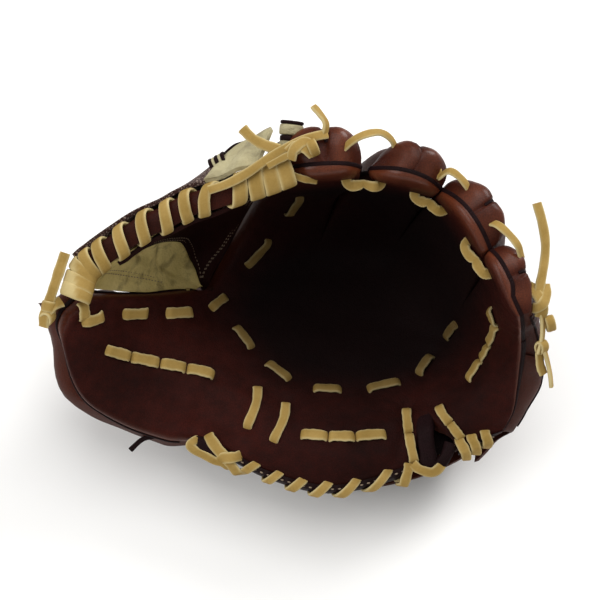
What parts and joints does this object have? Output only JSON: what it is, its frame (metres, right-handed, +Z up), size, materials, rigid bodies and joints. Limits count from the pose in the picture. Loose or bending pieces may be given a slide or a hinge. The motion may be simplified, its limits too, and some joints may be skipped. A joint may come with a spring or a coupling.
{
  "type": "softball glove",
  "caption": "Laced leather ball glove for one hand: padded pocket, finger and thumb stalls open inside for the hand, and a laced web between thumb and forefinger.",
  "frame": {"origin": "centre of the bounding box, on the surface that the glove's back rests on", "axes": "+X from the thumb to the little finger, +Y from the heel to the fingertips along the ground, +Z up, out of the open pocket"},
  "size_m": [0.2772, 0.1894, 0.1794],
  "materials": {
    "leather_brown": "soft worn full-grain leather, reddish brown",
    "leather_dark": "dark brown binding leather",
    "lace": "tan rawhide lacing, matte",
    "leather_tan": "creased tan leather",
    "leather_cream": "cream leather"
  },
  "bodies": {
    "root": {"palm_leather": "leather_brown", "index_back": "leather_brown", "middle_back": "leather_brown", "ring_back": "leather_brown", "little_back": "leather_brown", "thumb_back": "leather_brown", "hand_back": "leather_brown", "wrist_strap": "leather_brown", "heel_binding": "leather_dark", "little_heel_binding": "leather_dark", "notch_roll": "leather_dark", "web_rim": "leather_dark", "web_panel_tan": "leather_tan", "web_panel_brown": "leather_brown", "web_outer_brown": "leather_brown", "web_outer_cream": "leather_cream", "web_lace": "lace", "heel_lace": "lace", "little_heel_lace": "lace", "index_middle_lace_inside": "lace", "index_middle_lace_outside": "lace", "middle_ring_lace_inside": "lace", "middle_ring_lace_outside": "lace", "ring_little_lace_inside": "lace", "ring_little_lace_outside": "lace", "little_knot": "lace", "thumb_knot": "lace", "index_knot": "lace", "heel_tie": "leather_dark"}
  },
  "joints": []
}
